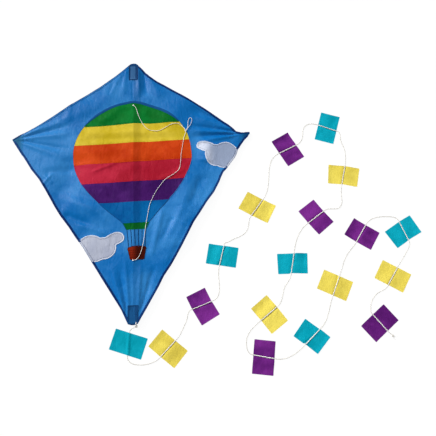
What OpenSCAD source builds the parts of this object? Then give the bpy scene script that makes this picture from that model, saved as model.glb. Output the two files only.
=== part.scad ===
// Diamond kite with a hot-air-balloon sail, a two-leg bridle and a tail of cloth flags.
// It lies face up: the spine runs along Y with the nose at +Y, and z = 0 is the surface under it.

/* [Sail] */
// Height from the nose to the tail end
kite_h = 720; // [710:1:730]
// Width from wing tip to wing tip
kite_w = 640; // [630:1:650]
// Distance from the nose down to the wing tips
tip_drop = 219; // [212:1:226]
// Width of the cut-off nose and of the cut-off tail end
end_w = 25; // [22:1:30]
// How far each lower edge curves in between its corners
edge_hollow = 6; // [2:1:10]
// Thickness of the sail cloth
sail_t = 0.4; // [0.3:0.1:0.5]
// Width of the folded hem
hem_w = 6; // [5:0.5:8]

/* [Frame] */
// Diameter of the spine rod and of the spreader rod
rod_d = 4; // [4:0.1:4.4]
// Outside diameter of the vinyl end caps
cap_d = 5.2; // [5:0.1:5.6]
// Length of an end cap
cap_l = 12; // [8:1:16]
// Running clearance on the radius where a rod sits in a bore
fit = 0.05; // [0.02:0.01:0.1]

/* [Balloon] */
// Half of the balloon's greatest width
balloon_r = 158; // [150:1:160]
// Height of the crown above the widest line
crown_h = 152; // [140:1:158]
// Height of each coloured band
band_h = 55; // [50:1:58]
// Thickness of every sewn-on panel
panel_t = 0.3; // [0.2:0.1:0.4]
// Lean of the balloon against the spine, in degrees
balloon_lean = 1.5; // [-2:0.5:2]

/* [Bridle] */
// Diameter of the bridle line
bridle_d = 1.2; // [1.2:0.1:1.8]
// Distance of the upper bridle hole from the middle of the spine
upper_hole = 228; // [224:1:240]
// Distance of the lower bridle hole from the middle of the spine
lower_hole = -200; // [-206:1:-196]

/* [Tail] */
// Diameter of the tail line
tail_d = 2; // [1.6:0.1:2.4]
// Length of a flag, across the line
flag_l = 84; // [76:1:88]
// Width of a flag, along the line
flag_w = 52; // [46:1:54]
// Thickness of a flag
flag_t = 0.5; // [0.4:0.1:0.6]

/* [Hidden] */
$fn = 48;

// Levels from the floor up: spreader, spine, sail cloth, sewn-on panels, bridle
rod_r = rod_d / 2;
cap_r = cap_d / 2;
joint_wall = 1.2;
layer_gap = 0.15;
spreader_z = joint_wall + rod_r;
spine_z = spreader_z + rod_d + 0.4;
sail_z = spine_z + rod_r + 1;
panel_z = sail_z + sail_t;
patch_t = 0.4;
hem_t = sail_t + 0.4;
knot_r = 1.9;
bridle_z = panel_z + patch_t + knot_r + 0.3;

// Corners of the right half of the diamond, in plan
half_h = kite_h / 2;
half_w = kite_w / 2;
shoulder = [end_w / 2, half_h - 6];
tip = [half_w, half_h - tip_drop];
heel = [end_w / 2, -half_h + 3];
edge_steps = 12;
far = 500;

// Rods, caps, pockets and the joint where the rods cross
spreader_y = tip[1] - 3;
spreader_end = half_w - 9;
spine_top = half_h - 9;
spine_foot = -half_h + 11;
cap_floor = 2;
pocket_l = 48;
pocket_back_z = spine_z - cap_r - 0.5;
heel_lip = 8;
tip_pocket_l = 30;
cap_bore_r = cap_r + 0.1;
joint_l = 26;
joint_w = 7;

// Balloon: heights are measured up from its widest line, and bands count down from first_band
balloon_at = [-1, 88];
first_band = 88;
throat = [35, -189];
mouth_foot = [26, -208];
rope_count = 6;
rope_w = 1.2;
rope_spread = 21;
basket_top = [19, -258];
basket_foot = [14, -282];
basket_round = 4;

// A cloud is a union of round puffs, each [x, y, radius]; the left one is mirrored, a little lower and fuller
body_puffs = [[-3, -3, 30], [27, 3.5, 31], [17, -12, 27]];
right_lobe = [[-41, 25, 12.8], [-33, 25, 12.8], [-27, 23, 13.4], [-18, 19.5, 13.5]];
left_lobe = [[-37, 25, 16], [-31, 25, 15], [-20, 18.5, 14.5]];
cloud_right_at = [226, 78];
cloud_left_at = [-80, -163.5];
left_height = 0.92;

// Bridle ties: a loop round the spine and a knot on the face of the sail
tie_loop_r = rod_r + 1.2;
tie_hole_r = 2.6;

// Routes: each row is [x, y, heading in degrees, half length of the straight stretch there]
route_ease = 0.36;
knot_reach = knot_r + 0.4;
bridle_route = [
    [0, upper_hole, -42, knot_reach], [13, 200, -72, 0], [28, 168, -58, 0], [51, 151, -12, 0],
    [72, 151, 18, 0], [94, 163, 28, 0], [116, 168.5, 0, 0], [130, 162, -48, 0],
    [141, 147, -80, 0], [136, 127.5, -103, 0], [128.5, 86, -98, 0], [124, 46, -98, 0],
    [114, 30, -140, 0], [88, 14, -148, 0], [70, -5, -127, 0], [47, -45, -115, 0],
    [36.5, -88, -101, 0], [26.5, -153, -99, 0], [15, -191, -116, 0], [0, lower_hole, -182, knot_reach]
];
tow_knot_at = [141, 147];
loop_route = [
    [142, 149.4, 55, 0], [147.5, 163, 86, 0], [149.5, 179, 72, 0], [154.5, 184.5, 0, 0],
    [158.8, 178, -98, 0], [152, 161, -124, 0], [143.6, 148, -120, 0]
];
flag_straight = 29;
tail_route = [
    [8, -half_h - 3, -150, knot_reach],
    [-12, -404, -95, flag_straight], [84, -419, 45, flag_straight], [129, -357, 62, 0],
    [170, -318, 20, flag_straight], [224, -195, 75, flag_straight],
    [246, -159, 30, 0], [292, -132, 58, 0],
    [322, -72, 52, flag_straight], [414, 87, 25, flag_straight],
    [458, 132, 88, 0], [464, 149.5, 52, 0],
    [526, 144, -22, flag_straight], [559, 105, -77, 0], [567, 70, -90, 0],
    [556, 8, -105, flag_straight],
    [545, -62, -88, 0], [528, -84, -178, 0],
    [473, -104, -145, flag_straight], [403, -222, -102, flag_straight], [377, -285, -113, 0],
    [335, -345, -143, flag_straight], [275, -412.5, -93, 0],
    [316, -447, -12, flag_straight],
    [438, -405, 42, flag_straight], [508, -283, 66, flag_straight], [543, -206.5, 56, 0],
    [585, -152, 56, flag_straight], [650, -110, -2, 0], [696, -150, -70, flag_straight],
    [696, -203.5, -121, 0],
    [653, -265, -124, flag_straight], [605, -309, -137, 0], [588, -340.5, -94, 0],
    [607, -378, -52, flag_straight],
    [634, -410, -50, knot_reach]
];
tail_z = flag_t + layer_gap + tail_d / 2;
tail_start_z = 6;
tail_tie_at = [8, -half_h + 3.5];
tail_tie_r = 3.2;

// Flags: one on each straight stretch, turned a little from square to the line
flag_rows = [for (row = tail_route) if (row[3] == flag_straight) row];
flag_turn = [-15, 5, 12, 14, 5, 8, 7, 7, 6, 17, -2, 5, 17, -8, 7, 15, 5, 4];
flag_on_top = 0;
flag_colours = ["teal", "yellow", "purple"];
flag_names = [for (i = [0:len(flag_rows) - 1])
    str("flag_", i < 9 ? "0" : "", i + 1, "_", flag_colours[i % 3])];

// ---- Plan outlines ----

function unit(v) = v / norm(v);

// Inward normals of the straight upper edge and of the lower edge's chord, on the right half
upper_in = unit([tip[1] - shoulder[1], shoulder[0] - tip[0]]);
lower_in = unit([heel[1] - tip[1], tip[0] - heel[0]]);
upper_slope = (tip[1] - shoulder[1]) / (tip[0] - shoulder[0]);

// Height of the upper edge at x, moved inward by inset
function upper_y(x, inset) =
    shoulder[1] + (x - shoulder[0]) * upper_slope - inset * norm([1, upper_slope]);

// The tip moved inward so that it stays inset from both of its edges
function tip_at(inset) = tip + (upper_in + lower_in) * inset / (1 + upper_in * lower_in);

// Points down the lower edge, which curves in by edge_hollow at its middle
function lower_points(inset) =
    [for (i = [1:edge_steps]) let (t = i / edge_steps)
        tip + (heel - tip) * t + lower_in * (inset + edge_hollow * 4 * t * (1 - t))];

function half_diamond(inset) = concat(
    inset > 0 ? [[0, upper_y(0, inset)]] : [[0, half_h], shoulder],
    [tip_at(inset)], lower_points(inset), [[0, -half_h + inset]]);

module diamond(inset) {
    right = half_diamond(inset);
    left = [for (i = [len(right) - 2:-1:1]) [-right[i][0], right[i][1]]];
    polygon(concat(right, left));
}

module side_box(x_from, x_to, y_from, y_to) {
    translate([x_from, y_from]) square([x_to - x_from, y_to - y_from]);
}

module sail_plan() {
    intersection() {
        diamond(hem_w);
        side_box(-half_w + tip_pocket_l, half_w - tip_pocket_l, -far, far);
    }
}

// ---- Sail ----

module bridle_holes() {
    for (y = [upper_hole, lower_hole])
        translate([0, y, sail_z - 1]) cylinder(h = 4, r = tie_hole_r);
}

module tail_tie_hole() {
    translate([tail_tie_at[0], tail_tie_at[1] + tail_tie_r, sail_z - 2]) cylinder(h = 5, r = 1.1);
}

module sail_solid() {
    translate([0, 0, sail_z]) linear_extrude(sail_t) sail_plan();
}

module sail() {
    color("dodgerblue") difference() {
        sail_solid();
        bridle_holes();
        tail_tie_hole();
    }
}

// side is 1 for a right-hand edge and -1 for a left-hand one
module hem(side) {
    color("midnightblue") mirror([side < 0 ? 1 : 0, 0, 0])
        translate([0, 0, sail_z - (hem_t - sail_t) / 2]) linear_extrude(hem_t) children();
}

module hem_upper(side) {
    from = end_w / 2;
    to = half_w - tip_pocket_l;
    hem(side) polygon([[from, upper_y(from, 0)], [to, upper_y(to, 0)],
        [to, upper_y(to, hem_w)], [from, upper_y(from, hem_w)]]);
}

module hem_lower(side) {
    outer = lower_points(0);
    inner = lower_points(hem_w);
    hem(side) intersection() {
        polygon(concat([tip], outer, [for (i = [edge_steps - 1:-1:0]) inner[i]], [tip_at(hem_w)]));
        side_box(end_w / 2, half_w - tip_pocket_l, -far, far);
    }
}

module end_patch(y_from, y_to) {
    intersection() {
        diamond(0);
        side_box(-end_w / 2, end_w / 2, y_from, y_to);
    }
}

module nose_pocket() {
    color("navy") difference() {
        translate([0, 0, pocket_back_z]) linear_extrude(panel_z + patch_t - pocket_back_z)
            end_patch(half_h - pocket_l, half_h);
        sail_solid();
        translate([0, half_h - pocket_l - 1, spine_z]) rotate([-90, 0, 0])
            cylinder(h = spine_top + cap_floor + 0.3 - (half_h - pocket_l - 1), r = cap_bore_r);
    }
}

module tail_pocket() {
    lip_z = sail_z - 0.3;
    color("navy") difference() {
        union() {
            translate([0, 0, pocket_back_z]) linear_extrude(panel_z + patch_t - pocket_back_z)
                end_patch(-half_h + heel_lip, -half_h + pocket_l);
            translate([0, 0, lip_z]) linear_extrude(panel_z + patch_t - lip_z)
                end_patch(-half_h, -half_h + heel_lip);
        }
        sail_solid();
        translate([0, spine_foot - cap_floor - 0.3, spine_z]) rotate([-90, 0, 0])
            cylinder(h = pocket_l, r = cap_bore_r);
        tail_tie_hole();
    }
}

module tip_pocket(side) {
    color("navy") mirror([side < 0 ? 1 : 0, 0, 0]) difference() {
        linear_extrude(sail_z + sail_t + (hem_t - sail_t) / 2) intersection() {
            diamond(0);
            side_box(half_w - tip_pocket_l, far, -far, far);
        }
        translate([half_w - tip_pocket_l - 1, spreader_y, spreader_z]) rotate([0, 90, 0])
            cylinder(h = spreader_end + cap_floor + 0.3 - (half_w - tip_pocket_l - 1),
                r = cap_bore_r);
    }
}

// ---- Balloon, clouds ----

function bezier(a, b, c, d, t) =
    a * pow(1 - t, 3) + b * 3 * t * pow(1 - t, 2) + c * 3 * t * t * (1 - t) + d * pow(t, 3);

// Right side of the envelope: an elliptical crown, then a curve that draws in to the throat
function envelope_side() =
    let (low = -30,
        start = [balloon_r * cos(low), crown_h * sin(low)],
        leave = unit([balloon_r * sin(low), -crown_h * cos(low)]) * 45,
        arrive = unit([-1, -1.05]) * 42)
    concat(
        [for (a = [90:-6:low]) [balloon_r * cos(a), crown_h * sin(a)]],
        [for (i = [1:8]) bezier(start, start + leave, throat - arrive, throat, i / 8)]);

module envelope() {
    right = envelope_side();
    left = [for (i = [len(right) - 1:-1:0]) [-right[i][0], right[i][1]]];
    polygon(concat(right, left));
}

module on_balloon() {
    difference() {
        translate([balloon_at[0], balloon_at[1], panel_z]) rotate(balloon_lean)
            linear_extrude(panel_t) children();
        bridle_holes();
    }
}

module band(name, y_from, y_to) {
    color(name) on_balloon() intersection() {
        envelope();
        side_box(-far, far, y_from, y_to);
    }
}

module balloon_mouth() {
    color("green") on_balloon()
        polygon([throat, mouth_foot, [-mouth_foot[0], mouth_foot[1]], [-throat[0], throat[1]]]);
}

module balloon_ropes() {
    color("midnightblue") on_balloon() for (i = [0:rope_count - 1]) {
        lean = 2 * i / (rope_count - 1) - 1;
        top = [lean * (mouth_foot[0] - 2), mouth_foot[1]];
        foot = [lean * rope_spread, basket_top[1] + basket_round];
        half = [rope_w / 2, 0];
        polygon([top - half, top + half, foot + half, foot - half]);
    }
}

module basket() {
    color("firebrick") on_balloon() hull() for (side = [-1, 1], corner = [basket_top, basket_foot])
        translate([side * corner[0], corner[1]]) circle(r = basket_round, $fn = 32);
}

module cloud(at, side, height, puffs) {
    color("white") intersection() {
        translate([at[0], at[1], panel_z]) linear_extrude(panel_t) scale([side, height])
            for (puff = puffs) translate([puff[0], puff[1]]) circle(r = puff[2]);
        translate([0, 0, panel_z]) linear_extrude(panel_t) sail_plan();
    }
}

// ---- Frame ----

module spine() {
    color("lightgray") translate([0, spine_foot, spine_z]) rotate([-90, 0, 0])
        cylinder(h = spine_top - spine_foot, r = rod_r);
}

module spreader() {
    color("lightgray") translate([-spreader_end, spreader_y, spreader_z]) rotate([0, 90, 0])
        cylinder(h = 2 * spreader_end, r = rod_r);
}

module cross_joint() {
    lower_h = spreader_z + rod_r + joint_wall;
    upper_from = spine_z - rod_r - joint_wall;
    upper_to = sail_z - 0.1;
    color("dimgray") translate([0, spreader_y, 0]) difference() {
        union() {
            translate([-joint_l / 2, -joint_w / 2, 0]) cube([joint_l, joint_w, lower_h]);
            translate([-joint_w / 2, -joint_l / 2, upper_from])
                cube([joint_w, joint_l, upper_to - upper_from]);
        }
        translate([0, 0, spreader_z]) rotate([0, 90, 0])
            cylinder(h = joint_l + 2, r = rod_r + fit, center = true);
        translate([0, 0, spine_z]) rotate([90, 0, 0])
            cylinder(h = joint_l + 2, r = rod_r + fit, center = true);
    }
}

// A cap on the end of a rod, drawn along Z with the rod's end at z = 0
module end_cap() {
    color("black") difference() {
        translate([0, 0, cap_floor - cap_l]) cylinder(h = cap_l, r = cap_r);
        translate([0, 0, -cap_l]) cylinder(h = cap_l, r = rod_r + fit);
    }
}

module spine_cap(y, side) {
    translate([0, y, spine_z]) rotate([side > 0 ? -90 : 90, 0, 0]) end_cap();
}

module spreader_cap(side) {
    translate([side * spreader_end, spreader_y, spreader_z]) rotate([0, side * 90, 0]) end_cap();
}

// ---- Cords ----

function level(angle) = [cos(angle), sin(angle), 0];

// The angle between two headings
function turn(a, b) = abs(((b - a) % 360 + 540) % 360 - 180);

// Stations between two places on a route, each [point, heading]: enough that the straight runs between them stay
// within about slip of the curve
function bend(a, a_heading, b, b_heading, slip) =
    let (reach = norm(b - a),
        chord = atan2(b[1] - a[1], b[0] - a[0]),
        turned = (turn(a_heading, chord) + turn(chord, b_heading)) * PI / 180,
        count = max(1, round(sqrt(reach * turned / (8 * slip)))),
        c = a + level(a_heading) * reach * route_ease,
        d = b - level(b_heading) * reach * route_ease)
    [for (i = [1:1:count - 1]) let (t = i / count,
        slope = (c - a) * pow(1 - t, 2) + (d - c) * 2 * t * (1 - t) + (b - d) * t * t)
        [bezier(a, c, d, b, t), atan2(slope[1], slope[0])]];

function entry(row, z) = [row[0], row[1], z] - level(row[2]) * row[3];
function leaving(row, z) = [row[0], row[1], z] + level(row[2]) * row[3];

// All stations of a route that lies level at z, apart from its start at first_z
function stations(rows, first_z, z, slip) =
    let (last = len(rows) - 1)
    [for (i = [0:last]) let (row = rows[i], here = i == 0 ? first_z : z)
        each concat(
            i > 0 ? [[entry(row, here), row[2]]] : [],
            i < last && (row[3] > 0 || i == 0) ? [[leaving(row, here), row[2]]] : [],
            i < last ? bend(leaving(row, here), row[2], entry(rows[i + 1], z),
                rows[i + 1][2], slip) : [])];

module tube(path, r) {
    sides = 8;
    points = [for (s = path, k = [0:sides - 1])
        let (a = 360 * k / sides, left = level(s[1] + 90))
        s[0] + left * r * cos(a) + [0, 0, r * sin(a)]];
    start = [for (k = [0:sides - 1]) k];
    end = [for (k = [sides - 1:-1:0]) (len(path) - 1) * sides + k];
    walls = [for (i = [0:len(path) - 2], k = [0:sides - 1])
        let (next = (k + 1) % sides)
        [i * sides + k, (i + 1) * sides + k, (i + 1) * sides + next, i * sides + next]];
    polyhedron(points, concat([start, end], walls));
}

module knot(at, r) {
    color("ivory") translate(at) sphere(r = r);
}

module bridle_tie(y) {
    color("ivory") {
        translate([0, y, spine_z]) rotate([90, 0, 0]) rotate_extrude()
            translate([tie_loop_r, 0]) circle(d = bridle_d);
        translate([0, y, spine_z + tie_loop_r])
            cylinder(h = bridle_z - spine_z - tie_loop_r, d = bridle_d);
        translate([0, y, bridle_z]) sphere(r = knot_r);
    }
}

module bridle_line() {
    color("ivory") tube(stations(bridle_route, bridle_z, bridle_z, 0.25), bridle_d / 2);
}

module tow_loop() {
    color("ivory") tube(stations(loop_route, bridle_z, bridle_z, 0.2), bridle_d / 2);
}

module tail_tie() {
    color("ivory") translate([tail_tie_at[0], tail_tie_at[1], (sail_z + panel_z) / 2])
        rotate([0, 90, 0]) rotate_extrude() translate([tail_tie_r, 0]) circle(r = 0.9);
}

module tail_line() {
    color("ivory") tube(stations(tail_route, tail_start_z, tail_z, 1.2), tail_d / 2);
}

module flag(i) {
    row = flag_rows[i];
    z = i == flag_on_top ? tail_z + tail_d / 2 + layer_gap : 0;
    color(["darkturquoise", "gold", "purple"][i % 3])
        translate([row[0], row[1], z + flag_t / 2]) rotate(row[2] + 90 + flag_turn[i])
        cube([flag_l, flag_w, flag_t], center = true);
}

sail();
hem_upper(-1);  // hem_upper_left
hem_upper(1);  // hem_upper_right
hem_lower(-1);  // hem_lower_left
hem_lower(1);  // hem_lower_right
nose_pocket();
tail_pocket();
tip_pocket(-1);  // tip_pocket_left
tip_pocket(1);  // tip_pocket_right
band("green", first_band, far);  // balloon_crown
band("gold", first_band - band_h, first_band);  // balloon_band_yellow
band("orangered", first_band - 2 * band_h, first_band - band_h);  // balloon_band_orange
band("crimson", first_band - 3 * band_h, first_band - 2 * band_h);  // balloon_band_red
band("indigo", first_band - 4 * band_h, first_band - 3 * band_h);  // balloon_band_purple
band("royalblue", throat[1], first_band - 4 * band_h);  // balloon_skirt
balloon_mouth();
balloon_ropes();
basket();
cloud(cloud_left_at, -1, left_height, concat(left_lobe, body_puffs));  // cloud_left
cloud(cloud_right_at, 1, 1, concat(right_lobe, body_puffs));  // cloud_right
spine();
spreader();
cross_joint();
spine_cap(spine_top, 1);  // spine_cap_nose
spine_cap(spine_foot, -1);  // spine_cap_tail
spreader_cap(-1);  // spreader_cap_left
spreader_cap(1);  // spreader_cap_right
bridle_tie(upper_hole);  // bridle_tie_upper
bridle_tie(lower_hole);  // bridle_tie_lower
bridle_line();
knot([tow_knot_at[0], tow_knot_at[1], bridle_z], knot_r);  // tow_knot
tow_loop();
tail_tie();
knot([tail_route[0][0], tail_route[0][1], tail_start_z], knot_r);  // tail_knot
tail_line();
knot([tail_route[len(tail_route) - 1][0], tail_route[len(tail_route) - 1][1], knot_r], knot_r);  // tail_end_knot
for (i = [0:len(flag_rows) - 1])
    flag(i);
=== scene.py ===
"""A child's diamond kite with a hot-air-balloon sail. It lies face up on a pale floor, with its bridle on
its face and its tail of cloth flags laid out beside it.

Lengths are in metres, in the CAD model's frame. The sail, its panels, hems, stitching and bridle all lie on
one surface, cloth_z(), so they fold together.
"""

import math

import bpy
import numpy as np
from mathutils import Matrix, Vector
from mathutils.geometry import delaunay_2d_cdt


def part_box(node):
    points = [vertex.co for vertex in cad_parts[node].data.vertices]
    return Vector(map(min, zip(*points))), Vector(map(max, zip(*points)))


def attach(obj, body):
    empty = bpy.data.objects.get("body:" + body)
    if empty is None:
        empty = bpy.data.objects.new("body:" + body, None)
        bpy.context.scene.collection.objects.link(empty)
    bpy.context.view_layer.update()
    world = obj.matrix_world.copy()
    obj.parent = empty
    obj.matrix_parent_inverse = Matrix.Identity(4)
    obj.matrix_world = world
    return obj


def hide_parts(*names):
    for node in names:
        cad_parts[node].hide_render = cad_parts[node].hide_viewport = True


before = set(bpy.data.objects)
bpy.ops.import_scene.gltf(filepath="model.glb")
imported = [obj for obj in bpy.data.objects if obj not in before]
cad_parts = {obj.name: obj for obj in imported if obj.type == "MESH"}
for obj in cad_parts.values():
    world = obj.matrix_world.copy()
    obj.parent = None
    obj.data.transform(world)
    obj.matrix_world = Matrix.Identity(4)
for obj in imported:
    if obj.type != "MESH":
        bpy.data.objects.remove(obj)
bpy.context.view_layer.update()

MM = 0.001
UP = np.array([0.0, 0.0, 1.0])

# ---- Places taken from the frame ----

nose_low, nose_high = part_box("nose_pocket")
tail_low, tail_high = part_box("tail_pocket")
spine_low, spine_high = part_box("spine")
spreader_low, spreader_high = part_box("spreader")

HALF_H = nose_high.y
HALF_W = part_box("tip_pocket_right")[1].x
END_HALF = nose_high.x
SPREADER_Y = (spreader_low.y + spreader_high.y) / 2
TIP = np.array([HALF_W, SPREADER_Y + 3 * MM])
SHOULDER = np.array([END_HALF, HALF_H - 6 * MM])
HEEL = np.array([END_HALF, -HALF_H + 3 * MM])
EDGE_HOLLOW = 6 * MM
HEM_W = 6 * MM
CLOTH_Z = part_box("sail")[1].z
SPINE_Z = (spine_low.z + spine_high.z) / 2
ROD_R = (spine_high.z - spine_low.z) / 2
CLOTH_T = 0.3 * MM
PANEL_LIFT = 0.45 * MM
CLOTH_STEP = 3 * MM

# ---- Camera ----

CAMERA_AT = Vector((0.2063, -0.4025, 1.2215))
CAMERA_AIM = Vector((0.2186, -0.0959, 0.0))
CAMERA_RIGHT = Vector((0.9992, -0.0401, 0.0))
CAMERA_LENS = 40
CAMERA_SENSOR = 36


def add_object(name, data):
    thing = bpy.data.objects.new(name, data)
    bpy.context.scene.collection.objects.link(thing)
    return thing


def add_camera():
    data = bpy.data.cameras.new("camera")
    data.lens = CAMERA_LENS
    data.sensor_width = CAMERA_SENSOR
    data.clip_start = 0.05
    data.clip_end = 50
    back = (CAMERA_AT - CAMERA_AIM).normalized()
    right = (CAMERA_RIGHT - back * CAMERA_RIGHT.dot(back)).normalized()
    turn = Matrix((right, back.cross(right), back)).transposed()
    camera = add_object("camera", data)
    camera.matrix_world = Matrix.Translation(CAMERA_AT) @ turn.to_4x4()
    bpy.context.scene.camera = camera


add_camera()

# ---- How the cloth lies ----

# Each fold is [start x, start y, end x, end y, half width at the start, at the end, rise], in millimetres.
FOLDS = [
    # Broad swells
    [85, 165, 165, 270, 36, 40, 2.4], [-150, 98, -195, -75, 32, 30, -2.8],
    [-185, -40, -30, -85, 26, 26, 1.8], [122, -190, 152, 50, 28, 40, 3.4], [190, 52, 204, 116, 20, 20, 2.8],
    [-165, 205, -45, 264, 24, 24, 1.9],
    # Fan from the left tip
    [-312, 143, -150, 208, 3, 14, 1.1], [-314, 142, -165, 178, 3, 9, -1.4],
    [-314, 141, -160, 152, 3, 11, 1.5], [-314, 139, -170, 106, 3, 8, -1.5],
    [-308, 135, -170, 76, 4, 13, 1.5], [-305, 146, -235, 180, 2, 5, 0.9],
    # Fan from the right tip, where the cloth is slack
    [288, 140, 160, 190, 3, 12, 1.6], [286, 138, 150, 165, 3, 6, -2.0], [286, 136, 150, 147, 3, 6, 1.9],
    [288, 134, 150, 130, 3, 6, -2.0], [286, 131, 165, 112, 3, 7, 1.6], [265, 158, 150, 214, 5, 12, -1.6],
    [274, 147, 140, 240, 2, 3, 1.0], [278, 142, 150, 226, 4, 5, -0.9],
    # Below the nose
    [14, 345, 15, 252, 3, 7, 2.2], [28, 336, 36, 255, 4, 9, -2.2], [34, 330, 80, 240, 4, 14, 1.2],
    [-18, 345, -30, 258, 4, 8, 1.1], [-24, 335, -80, 250, 4, 16, 1.2], [-55, 300, -70, 262, 5, 6, -1.0],
    [-3, 302, -2, 242, 2, 2, -0.8],
    # Left field
    [-171, 244, -178, 185, 9, 10, 1.0], [-240, 44, -150, 50, 10, 10, -1.4], [-240, 8, -212, 42, 3, 3, 1.1],
    [-212, 12, -238, 38, 3, 3, 0.9], [-195, -18, -85, -72, 15, 13, 1.7],
    [-182, -72, -105, -106, 9, 9, -1.9], [-150, -97, -48, -138, 7, 7, 1.3],
    # Right field
    [186, 24, 140, -80, 13, 11, -1.8], [215, -5, 160, -95, 8, 8, 1.2], [78, -62, 44, -195, 8, 7, 1.7],
    [102, -88, 72, -155, 6, 6, -1.1], [128, -62, 92, -145, 7, 7, 1.0], [150, -88, 78, -240, 8, 7, -0.9],
    # Above the tail end
    [-18, -336, -56, -212, 3, 7, 1.6], [-13, -332, -36, -212, 3, 5, -1.5], [-9, -328, -21, -192, 3, 5, 1.3],
    [13, -330, 20, -205, 3, 6, 1.5], [19, -330, 55, -212, 3, 8, -1.5],
    # Across the balloon
    [-92, 180, -25, 226, 12, 12, 1.5], [-150, 151, 145, 146, 9, 9, 0.8], [-150, 133, 150, 129, 8, 8, -0.8],
    [-150, 92, -40, 98, 9, 9, 0.5], [-112, 38, -40, 66, 4, 4, 1.2], [-150, 62, -100, 58, 6, 6, 0.9],
    [-60, 58, 60, 66, 8, 8, -0.6], [62, 12, 140, 36, 6, 7, 1.1], [-60, 208, 40, 222, 9, 9, -0.6],
]

# The sail was packed folded along the spine, which leaves upright creases: [x, rise], in millimetres.
CREASES = [[-160, 0], [-103, -0.2], [-57, -1.0], [-8, 1.0], [0, 1.1], [45, -1.5], [90, -0.2], [140, 0]]

# Slow waves: [wave length, direction in degrees, phase, height], in millimetres.
WAVES = [[118, 18, 0.4, 0.4], [92, 75, 1.9, 0.35], [74, 140, 4.0, 0.25], [47, 48, 2.6, 0.12],
         [33, 112, 5.2, 0.08]]

FOLD_DEPTH = 1.6
TIP_DROOP = 3.6 * MM
CREASE_END = 0.33
WAVE_FADE = 0.1


def ease(t):
    t = np.clip(t, 0, 1)
    return t * t * (3 - 2 * t)


def fold_rise(x, y, fold):
    x0, y0, x1, y1, w0, w1, rise = [v * MM for v in fold]
    rise = rise * FOLD_DEPTH
    run = math.hypot(x1 - x0, y1 - y0)
    ux, uy = (x1 - x0) / run, (y1 - y0) / run
    t = ((x - x0) * ux + (y - y0) * uy) / run
    across = (x - x0) * -uy + (y - y0) * ux
    width = w0 + (w1 - w0) * np.clip(t, 0, 1)
    return rise * np.exp(-((across / width) ** 2)) * ease((t + 0.02) / 0.2) * ease((1.08 - t) / 0.4)


def cloth_z(x, y):
    """Height of the sail cloth's face where it lies over (x, y)."""
    x, y = np.asarray(x, float), np.asarray(y, float)
    z = CLOTH_Z - TIP_DROOP * (np.abs(x) / HALF_W) ** 3
    for fold in FOLDS:
        z = z + fold_rise(x, y, fold)
    crease_x, crease_z = np.array(CREASES).T * MM
    middle = ease((y + CREASE_END) / 0.15) * ease((CREASE_END - y) / 0.2)
    z = z + np.interp(x, crease_x, crease_z) * middle
    slack = ease((HALF_H - np.abs(y)) / WAVE_FADE) * ease((HALF_W - np.abs(x)) / WAVE_FADE)
    for length, heading, phase, height in WAVES:
        a = math.radians(heading)
        along = (x * math.cos(a) + y * math.sin(a)) * 2 * math.pi / (length * MM)
        z = z + height * MM * np.sin(along + phase) * slack
    return z


# How far the slack cloth is drawn in at its edges, in millimetres: [place, shift].
UPPER_RIGHT = [[0, 0], [20, -7], [42, -17.5], [63, -19.5], [85, -18], [121, -17], [192, -16], [235, -19],
               [257, -21], [280, -28], [296, -21], [312, -9], [320, -4]]
UPPER_LEFT = [[0, 0], [23, -6], [44, -9.5], [87, -12.5], [130, -10.5], [195, -8], [259, -8], [281, -5.5],
              [302, -1], [320, 0]]
LOWER_RIGHT = [[-357, 0], [-322, 0], [-268, 0], [-241, -2], [-214, 1], [-160, 0], [-133, -2], [-106, -5],
               [-80, -3], [-50, -2], [-26, 1], [1, -2], [14, -5], [28, -7], [36, -4.3], [52, -2.3],
               [68, -0.5], [76, -1.6], [85, -4.4], [93, -7], [105, -8.5], [125, -9], [133, -6], [141, -5]]
LOWER_LEFT = [[-357, 0], [-322, -4], [-290, -2], [-241, 0], [-187, 1], [-160, 1], [-133, 4], [-106, 5],
              [-75, 9], [-50, 9], [0, 5], [28, 4], [55, 8], [82, 7], [141, 7]]
UPPER_REACH = 70 * MM
LOW_SLACK = 4 * MM
LOW_SLACK_FROM = -345 * MM
LOW_SLACK_TO = -60 * MM


def edge_top(x):
    """Height in plan of the cut sail's upper edge over x."""
    slope = (TIP[1] - SHOULDER[1]) / (TIP[0] - SHOULDER[0])
    return SHOULDER[1] + (np.abs(x) - SHOULDER[0]) * slope


def edge_side(y):
    """Half width in plan of the cut sail at height y, below its tips."""
    t = np.clip((TIP[1] - y) / (TIP[1] - HEEL[1]), 0, 1)
    return TIP[0] + (HEEL[0] - TIP[0]) * t - EDGE_HOLLOW * 4 * t * (1 - t)


def drawn_in(table, at):
    places, shifts = np.array(table).T * MM
    return np.interp(at, places, shifts)


def lie(points):
    """Where points of the flat cut end up once the cloth lies slack: returns an N by 2 array."""
    x, y = np.asarray(points, float)[:, :2].T.copy()
    side = np.clip(np.abs(x) / np.maximum(edge_side(y), END_HALF), 0, 1.02) ** 2
    shift_x = np.where(x > 0, drawn_in(LOWER_RIGHT, y), -drawn_in(LOWER_LEFT, y))
    top = np.maximum(edge_top(x), TIP[1])
    floor = TIP[1] - UPPER_REACH
    share = np.clip((y - floor) / (top - floor), 0, 1.02) ** 2
    shift_y = np.where(x > 0, drawn_in(UPPER_RIGHT, x), drawn_in(UPPER_LEFT, -x))
    shift_low = LOW_SLACK * (1 - side) * ease((LOW_SLACK_TO - y) / (50 * MM))
    shift_low *= ease((y - LOW_SLACK_FROM) / (40 * MM))
    return np.stack([x + shift_x * side + shift_low, y + shift_y * share], axis=1)


def on_cloth(points, lift=0.0):
    """Flat-cut points as they lie on the sail, lift above its face."""
    flat = lie(points)
    return np.column_stack([flat, cloth_z(flat[:, 0], flat[:, 1]) + lift])


# ---- Mesh helpers: every shape is (points, faces) ----

CORNER_TURN = 25
STRANDS = 3
LAY_DEPTH = 0.14


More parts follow.
